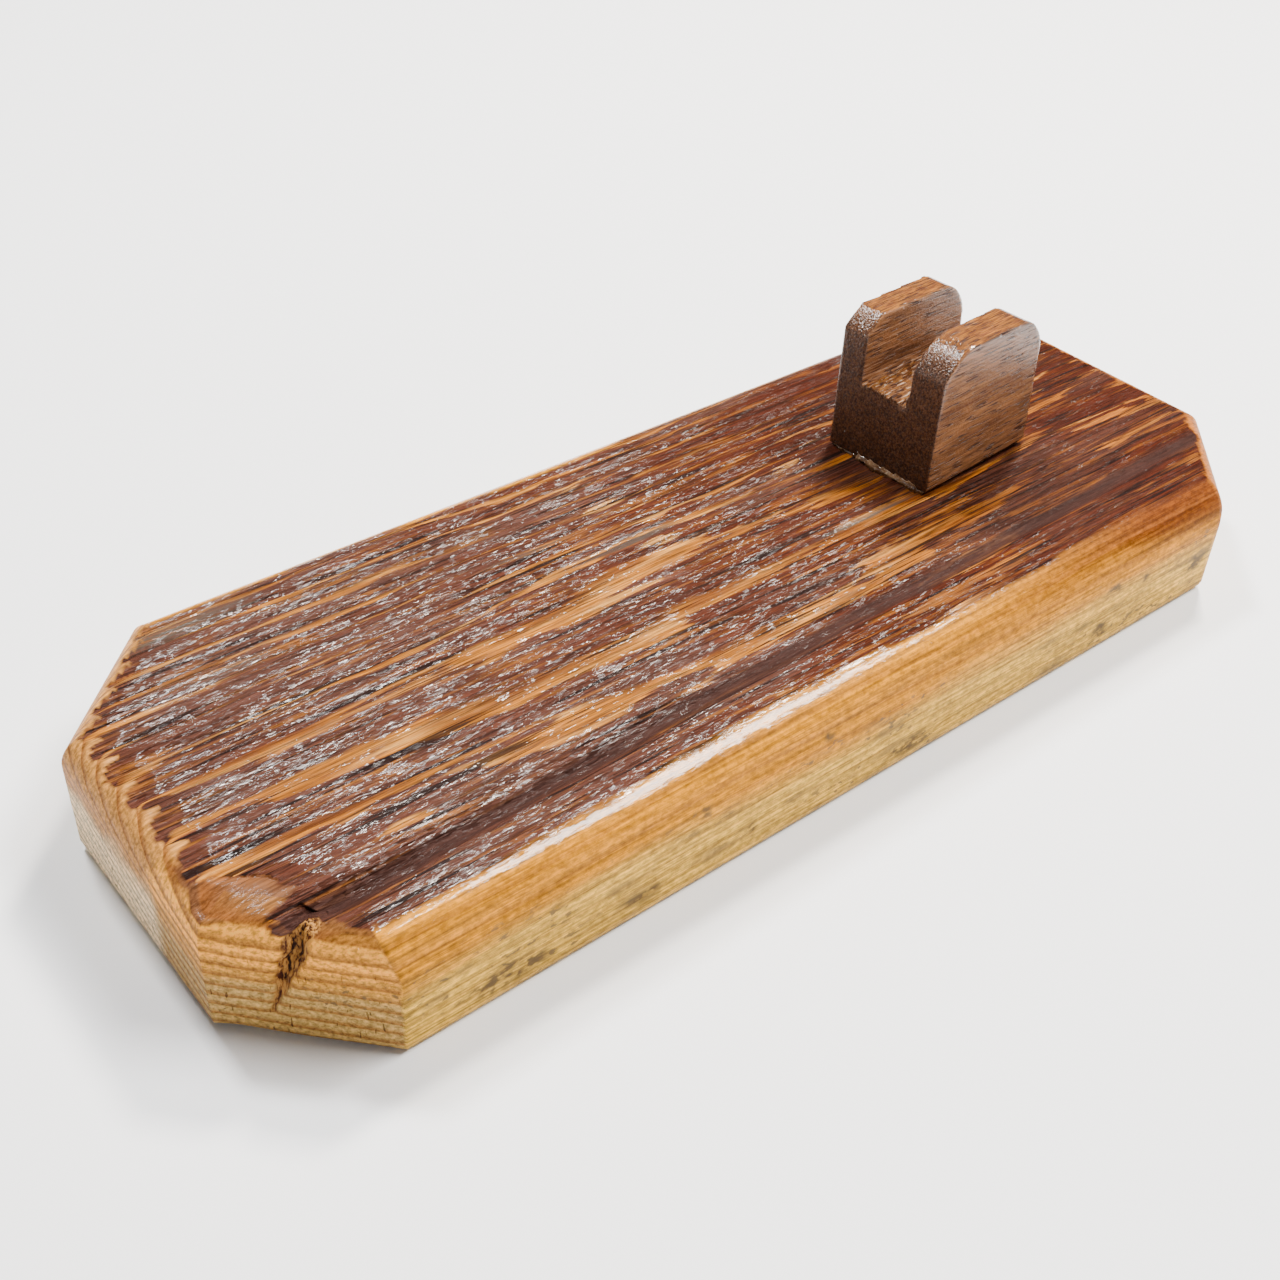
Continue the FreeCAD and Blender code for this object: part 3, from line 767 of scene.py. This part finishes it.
    def with_stains(self, sanded):
        """The sanded colour with specks, grime and cloudy stains, mostly low down on the sides."""
        speck_noise = self.noise((2.0, 1.0, 1.0), 2, shift=8.8)
        speck = self.times(self.step(speck_noise, 0.61, 0.67), self.step(self.height, 15.0, 18.5, 1.0, 0.0))
        patch = self.step(self.noise((28, 12, 9), 1, shift=0.4), 0.44, 0.60, 0.25, 1.0)
        sanded = self.mix(self.times(self.times(speck, patch), 0.85), sanded, STAIN)
        grime = self.times(self.attribute("side_grime"), self.step(speck_noise, 0.36, 0.56, 0.25, 0.95))
        sanded = self.mix(grime, sanded, SIDE_STAIN)
        cloud = self.step(self.noise((15, 9, 4.5), 3, roughness=0.6, shift=3.4), 0.54, 0.68, 0.0, 0.55)
        cloud = self.times(cloud, self.step(self.height, 13.0, 18.0, 1.0, 0.0))
        off_the_ends = self.step(self.ending, 0.0, 0.5, 1.0, 0.0)
        return self.mix(self.times(cloud, off_the_ends), sanded, STAIN)

    def with_cracks(self, sanded):
        """The sanded colour with short upright cracks in the ends, and in the torn crack pale splinters with
        painted shade between them, near black where it is deepest.
        """
        short_crack = self.step(self.noise((0.5, 0.5, 2.8), 0, shift=2.7), 0.765, 0.80)
        short_crack = self.times(short_crack, self.step(self.height, 15.0, 18.0, 0.8, 0.0))
        sanded = self.mix(self.times(short_crack, self.ending), sanded, CRACK_AND_SHADE_DARK)
        # Painted shade in the torn crack: dark red between the pale splinters, and near black in the gaps
        # where the crack is deepest.
        gap = self.step(self.splinter, 0.42, 0.50, 0.75, 0.0)
        tear_colour = self.mix(self.step(self.splinter, 0.40, 0.62), SHADE_RED, SPLINTER)
        tear_colour = self.mix(self.step(self.torn, 0.6, 1.0, 0.0, gap), tear_colour, CRACK_AND_SHADE_DARK)
        return self.mix(self.step(self.torn, 0.1, 0.5), sanded, tear_colour)

    def relief(self, rough_part):
        """Fine relief: grit, wrinkles and flakes, strongest on the rough part, ring lines and splinters."""
        wrinkle = self.minus(self.noise((7, 0.8, 0.8), 3, roughness=0.6, shift=2.9), 0.5)
        wrinkle = self.math("ABSOLUTE", wrinkle)
        grit = self.noise((2.0, 0.55, 0.55), 2, shift=4.9)
        fine = self.minus(self.times(grit, 0.35), self.times(wrinkle, 1.2))
        fine = self.plus(fine, self.flakes(FLAKE_SIZES, FLAKE_LEAN, shift=7.9))
        on_top = self.times(rough_part, self.step(self.along, -60.0, 20.0, 1.15, 0.8))
        everywhere = self.step(self.ending, 0.0, 1.0, 0.12, 0.40)
        fine = self.times(fine, self.plus(on_top, everywhere))
        fine = self.minus(fine, self.times(self.times(self.late, self.ending), 0.25))
        return self.plus(fine, self.times(self.times(self.splinter, self.torn), 2.0))

    def varnish(self):
        """The coat's weight: full on the near rounding, thin on sides, ends and split, streaky on top."""
        upper = self.step(self.along, 0.0, 60.0, 1.0, 0.30)
        sanded = self.step(self.height, 17.5, 21.5, 0.04, upper)
        sanded = self.times(sanded, self.step(self.ending, 0.3, 0.9, 1.0, 0.06))
        to_left = self.step(self.along, -90.0, 30.0, 0.80, 0.22)
        streak = self.step(self.noise((14, 1.3, 1.3), 2, shift=8.6), 0.42, 0.58, 0.25, 1.0)
        on_top = self.step(self.weathered, 0.0, 1.0, 1.0, self.times(to_left, streak))
        off_split = self.step(self.split, 0.2, 0.7, 1.0, 0.15)
        return self.times(self.times(sanded, on_top), off_split)


def softwood():
    s = Softwood()
    colour = s.mix(s.weathered, s.sanded_colour(), s.top_colour())
    # Painted shade along the step at the sanding's limit.
    colour = s.mix(s.times(s.attribute("step_shade"), 0.9), colour, SHADE_RED)
    rough_part = s.times(s.weathered, s.minus(1.0, s.times(s.amber_part, 0.6)))
    normal = s.bump(s.relief(rough_part), WOOD_RELIEF)
    s.set(
        Base_Color=colour,
        Roughness=s.step(rough_part, 0.0, 1.0, 0.45, 0.6),
        Coat_Weight=s.varnish(),
        Normal=normal,
        Coat_Normal=normal,
        Specular_IOR_Level=0.04,
        Coat_Roughness=0.10,
        Coat_IOR=1.5,
    )
    return s.material


# ---- fork ----

FORK_LOW, FORK_HIGH = (np.array(corner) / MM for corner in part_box("fork_rest"))
FORK_VOXEL = 0.4
FORK_TURN = np.array([
    (math.cos(FORK_YAW), -math.sin(FORK_YAW)),
    (math.sin(FORK_YAW), math.cos(FORK_YAW)),
])

# In the fork's own frame: X from front to back, Y across and Z from its foot, about the screw's axis.
FORK_FRONT = -15.8
SLOT_NEAR, SLOT_FAR, SLOT_FLOOR = -4.9, 6.6, 16.2
TORN_HEIGHT = 1.3         # how high the ragged fibres on the slot's floor are
TORN_DROP = 0.45          # how far they are sunk into it
TORN_RISE_MOST = 0.1      # how far one may stand above it
PIT_Y, PIT_Z = -3.4, 15.9     # a small hole torn out of the front, at the slot's floor
PIT_HALF_Y, PIT_HALF_Z, PIT_DEPTH = 0.8, 0.9, 2.2


def fork_frame(points):
    """Points of the row's frame in the fork's own frame."""
    own = points.copy()
    own[:, :2] = (points[:, :2] - SCREW_AXIS) @ FORK_TURN
    own[:, 2] -= FORK_LOW[2]
    return own


def row_frame(own):
    """Points of the fork's own frame in the row's frame."""
    points = own.copy()
    points[:, :2] = own[:, :2] @ FORK_TURN.T + SCREW_AXIS
    points[:, 2] += FORK_LOW[2]
    return points


def fine_copy(node, name, voxel):
    """A dense, even mesh of a CAD node, with its sharp edges eased by about a voxel."""
    source = bpy.data.objects.new(name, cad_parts[node].data.copy())
    bpy.context.scene.collection.objects.link(source)
    remesh = source.modifiers.new("remesh", "REMESH")
    remesh.mode = "VOXEL"
    remesh.voxel_size = voxel * MM
    view = bpy.context.evaluated_depsgraph_get()
    fine = bpy.data.meshes.new_from_object(source.evaluated_get(view))
    source.modifiers.clear()
    source.data = fine
    fine.materials.clear()
    fine.name = name
    return source


def mesh_points(mesh):
    """A mesh's points in millimetres."""
    flat = np.empty(len(mesh.vertices) * 3)
    mesh.vertices.foreach_get("co", flat)
    return flat.reshape(-1, 3) / MM


def reshape_smooth(mesh, points):
    """Moves a mesh's points, given in millimetres, and shades it smooth."""
    mesh.vertices.foreach_set("co", (points * MM).ravel())
    mesh.polygons.foreach_set("use_smooth", np.ones(len(mesh.polygons), bool))


def make_fork():
    fork = fine_copy("fork_rest", "fork_wood", FORK_VOXEL)
    own = fork_frame(mesh_points(fork.data))
    x, y, z = own.T
    in_slot = smooth_step(SLOT_NEAR - 0.3, SLOT_NEAR + 0.5, y)
    in_slot = in_slot * smooth_step(SLOT_FAR + 0.3, SLOT_FAR - 0.5, y)
    on_floor = in_slot * smooth_step(SLOT_FLOOR - 1.2, SLOT_FLOOR - 0.2, z)
    torn = 0.6 * grain_noise(own, (6, 0.8, 30), 31) + 0.45 * grain_noise(own, (2.0, 0.6, 30), 32)
    z = z + on_floor * np.minimum(TORN_HEIGHT * torn - TORN_DROP, TORN_RISE_MOST)
    pit = np.exp(-(((y - PIT_Y) / PIT_HALF_Y) ** 2 + ((z - PIT_Z) / PIT_HALF_Z) ** 2) ** 1.5)
    x = x + PIT_DEPTH * pit * smooth_step(FORK_FRONT + 2.5, FORK_FRONT + 0.2, x)
    points = row_frame(np.stack([x, y, z], axis=1))
    points[:, 2] = np.minimum(points[:, 2], FORK_HIGH[2])
    reshape_smooth(fork.data, points)
    floor_mask = fork.data.attributes.new("torn", "FLOAT", "POINT")
    floor_mask.data.foreach_set("value", on_floor.astype(np.float32))
    fork.data.materials.append(walnut())
    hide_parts("fork_rest")
    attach(fork, "root")


WALNUT = (0.12, 0.046, 0.018)
WALNUT_PALE = (0.22, 0.092, 0.036)
WALNUT_DARK = (0.030, 0.010, 0.005)
WALNUT_WARM = (0.075, 0.018, 0.003)
WALNUT_GOLD = (0.21, 0.070, 0.004)
WALNUT_TORN = (0.46, 0.33, 0.23)
WALNUT_RELIEF = 0.13      # as WOOD_RELIEF


def walnut():
    """Varnished walnut: dark pores along the fork's own X, darker end grain front and back."""
    s = Shader("walnut_varnished")
    turned = s.tree.nodes.new("ShaderNodeVectorRotate")
    turned.rotation_type = "Z_AXIS"
    s.connect(turned.inputs["Vector"], s.place)
    turned.inputs["Angle"].default_value = -FORK_YAW
    s.place = turned.outputs[0]
    torn = s.attribute("torn")
    endwise = s.math("ABSOLUTE", s.facing("X"))
    end_grain = s.step(endwise, 0.35, 0.75)
    level = s.facing("Z")
    upward = s.step(level, 0.6, 0.95)

    colour = s.mix(s.step(s.noise((30, 3.0, 4), 3, shift=1.9), 0.35, 0.65), WALNUT, WALNUT_PALE)
    gold = s.step(s.noise((3.6, 0.34, 0.5), 3, roughness=0.7, shift=6.1), 0.40, 0.60)
    colour = s.mix(s.times(upward, 0.85), colour, s.mix(gold, WALNUT_WARM, WALNUT_GOLD))
    fibre = s.noise((7, 0.4, 0.4), 4, roughness=0.7, shift=3.3)
    colour = s.dim(colour, s.step(fibre, 0.3, 0.7, 0.42, 1.55))
    pore = s.step(s.noise((5.0, 0.40, 0.40), 1, shift=5.1), 0.57, 0.64)
    colour = s.mix(s.times(pore, 0.95), colour, WALNUT_DARK)
    dot = s.noise((0.5, 0.42, 0.42), 2, shift=8.2)
    end_colour = s.mix(s.step(dot, 0.35, 0.68), WALNUT_DARK, WALNUT)
    colour = s.mix(s.times(end_grain, 0.9), colour, end_colour)
    colour = s.mix(s.times(torn, s.step(fibre, 0.34, 0.46, 0.9, 0.0)), colour, WALNUT_DARK)
    colour = s.mix(s.times(torn, s.step(fibre, 0.54, 0.64, 0.0, 0.85)), colour, WALNUT_TORN)

    grit = s.noise((0.6, 0.42, 0.42), 2, shift=7.3)
    grit = s.times(grit, s.plus(0.6, s.times(end_grain, 1.6)))
    relief = s.minus(grit, s.times(pore, 0.6))
    relief = s.plus(relief, s.times(torn, s.times(fibre, 1.5)))
    normal = s.bump(relief, WALNUT_RELIEF)
    varnish = s.times(s.step(torn, 0.0, 1.0, 0.9, 0.1), s.step(endwise, 0.88, 0.98, 1.0, 0.35))
    s.set(
        Base_Color=colour,
        Normal=normal,
        Coat_Normal=normal,
        Coat_Weight=s.times(varnish, s.step(level, 0.95, 0.99, 1.0, 0.25)),
        Roughness=0.55,
        Specular_IOR_Level=0.05,
        Coat_Roughness=0.10,
    )
    return s.material


# ---- glue ----

GLUE_VOXEL = 0.22
GLUE_WAVES = 0.16         # how far its surface runs in and out
VALLEY_FILL = 1.0         # how far it reaches down into the brushed top's valleys
GLUE_DARK = (0.08, 0.030, 0.009)
GLUE_PALE = (0.22, 0.11, 0.04)
GLUE_BUBBLE = (0.45, 0.30, 0.15)


def make_glue():
    """The CAD's bed and bead with a runny surface, filling the valleys under the fork."""
    glue = fine_copy("glue_bed", "glue_line", GLUE_VOXEL)
    points = mesh_points(glue.data)
    waves = [grain_noise(points, (1.6, 1.6, 0.8), seed) for seed in (61, 62, 63)]
    points += GLUE_WAVES * np.stack(waves, axis=1)
    points[:, 2] -= VALLEY_FILL * smooth_step(TOP + 0.15, TOP, points[:, 2])
    reshape_smooth(glue.data, points)
    glue.data.materials.append(cured_glue())
    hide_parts("glue_bed")
    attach(glue, "root")


def cured_glue():
    """Clear yellowed glue: amber, glossy, with small bubbles and trapped dust."""
    s = Shader("glue_cured")
    cloud = s.noise((2.0, 2.0, 1.0), 3, shift=1.1)
    colour = s.mix(s.step(cloud, 0.35, 0.65), GLUE_DARK, GLUE_PALE)
    bubble = s.step(s.noise((0.4, 0.4, 0.4), 1, shift=3.7), 0.62, 0.70)
    normal = s.bump(s.plus(cloud, bubble), 0.12)
    s.set(
        Base_Color=s.mix(s.times(bubble, 0.5), colour, GLUE_BUBBLE),
        Roughness=s.step(cloud, 0.3, 0.7, 0.15, 0.35),
        Normal=normal,
        Coat_Normal=normal,
        Coat_Weight=1.0,
        Coat_Roughness=0.05,
    )
    return s.material


# ---- screw ----

STEEL_BRIGHT = (0.62, 0.60, 0.52)
STEEL_DULL = (0.42, 0.41, 0.38)


def plated_steel():
    """Zinc-plated steel: satin, faintly yellow, with turning marks and dull patches."""
    s = Shader("steel_plated")
    dull = s.noise((2.5, 2.5, 2.5), 3, shift=2.1)
    mark = s.noise((4.0, 4.0, 0.15), 2, shift=6.5)
    s.set(
        Base_Color=s.mix(s.step(dull, 0.35, 0.65), STEEL_BRIGHT, STEEL_DULL),
        Roughness=s.step(dull, 0.3, 0.7, 0.24, 0.45),
        Normal=s.bump(mark, 0.02),
        Metallic=1.0,
    )
    return s.material


def dress_screw():
    """Gives the CAD's own screw its material."""
    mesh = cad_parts["fixing_screw"].data
    mesh.materials.clear()
    mesh.materials.append(plated_steel())


# ---- floor, light and camera: in metres, but for the camera's place ----

FLOOR_REACH, FLOOR_SIDES = 1.6, 128
FLOOR_WHITE = (0.90, 0.91, 0.93, 1)

WALL_LOW, WALL_HIGH = 0.12, 0.34      # how far up the pale walls go: sines of the elevation
WALL_LIGHT, CEILING_LIGHT = 1.10, 0.10
ROOM_WHITE = (0.96, 0.98, 1.0, 1)

AIM = (0, 0, 0.02)                    # what every light faces
DAYLIGHT = (1.0, 0.98, 0.95)
WARM_LIGHT = (1.0, 0.93, 0.84)


def make_floor():
    """A round sheet of pale paper."""
    mesh = bpy.data.meshes.new("floor")
    turns = [2 * math.pi * i / FLOOR_SIDES for i in range(FLOOR_SIDES)]
    rim = [(FLOOR_REACH * math.cos(turn), FLOOR_REACH * math.sin(turn), 0) for turn in turns]
    mesh.from_pydata(rim, [], [tuple(range(FLOOR_SIDES))])
    floor = bpy.data.objects.new("floor", mesh)
    bpy.context.scene.collection.objects.link(floor)
    material = bpy.data.materials.new("floor_paper")
    material.use_nodes = True
    shader = material.node_tree.nodes["Principled BSDF"]
    shader.inputs["Base Color"].default_value = FLOOR_WHITE
    shader.inputs["Roughness"].default_value = 0.6
    mesh.materials.append(material)


def add_area_light(name, place, size, power, colour=(1, 1, 1)):
    """A rectangular soft light. Its first size is the level one."""
    data = bpy.data.lights.new(name, "AREA")
    data.shape = "RECTANGLE"
    data.size, data.size_y = size
    data.energy = power
    data.color = colour
    lamp = bpy.data.objects.new(name, data)
    lamp.location = place
    lamp.rotation_euler = (Vector(AIM) - Vector(place)).to_track_quat("-Z", "Y").to_euler()
    bpy.context.scene.collection.objects.link(lamp)


def make_room():
    """A dim room with pale walls up to a little above the horizon."""
    world = bpy.data.worlds.new("dim_room")
    world.use_nodes = True
    nodes, links = world.node_tree.nodes, world.node_tree.links
    direction = nodes.new("ShaderNodeTexCoord")
    part = nodes.new("ShaderNodeSeparateXYZ")
    links.new(direction.outputs["Generated"], part.inputs[0])
    strength = nodes.new("ShaderNodeMapRange")
    strength.interpolation_type = "SMOOTHSTEP"
    links.new(part.outputs["Z"], strength.inputs["Value"])
    limits = {"From Min": WALL_LOW, "From Max": WALL_HIGH, "To Min": WALL_LIGHT, "To Max": CEILING_LIGHT}
    for name, value in limits.items():
        strength.inputs[name].default_value = value
    background = nodes["Background"]
    background.inputs["Color"].default_value = ROOM_WHITE
    links.new(strength.outputs[0], background.inputs["Strength"])
    bpy.context.scene.world = world


def make_lights():
    """Three windows, two of them small for sparkle, and a weak wide fill."""
    add_area_light("window_right", (0.54, -0.31, 1.00), (0.55, 0.32), 26, DAYLIGHT)
    add_area_light("window_back", (0.60, 0.32, 0.90), (0.17, 0.17), 25, WARM_LIGHT)
    add_area_light("window_far", (-0.05, 0.62, 1.02), (0.18, 0.18), 18)
    add_area_light("room_fill", (-0.70, -0.70, 1.0), (1.2, 1.2), 1)


def make_camera():
    """The photograph's viewpoint: a distance and three turns about a point on the floor."""
    look_at = Vector((-9.8, 10.6, 0.0))
    distance = 309.2
    heading, dip, roll = math.radians(48.98), math.radians(38.49), math.radians(3.06)
    ahead = Vector((math.cos(dip) * math.cos(heading), math.cos(dip) * math.sin(heading), -math.sin(dip)))
    level_right = ahead.cross(Vector((0, 0, 1))).normalized()
    level_up = level_right.cross(ahead)
    right = level_right * math.cos(roll) + level_up * math.sin(roll)
    up = level_up * math.cos(roll) - level_right * math.sin(roll)
    data = bpy.data.cameras.new("photo_view")
    data.sensor_width = 36.0
    data.lens = 44.81
    data.clip_start = 0.01
    camera = bpy.data.objects.new("photo_view", data)
    turned = Matrix((right, up, -ahead)).transposed().to_4x4()
    camera.matrix_world = Matrix.Translation((look_at - ahead * distance) * MM) @ turned
    bpy.context.scene.collection.objects.link(camera)
    bpy.context.scene.camera = camera


# ---- the scene ----

make_board()
make_glue()
dress_screw()
make_fork()
make_floor()
make_room()
make_lights()
make_camera()
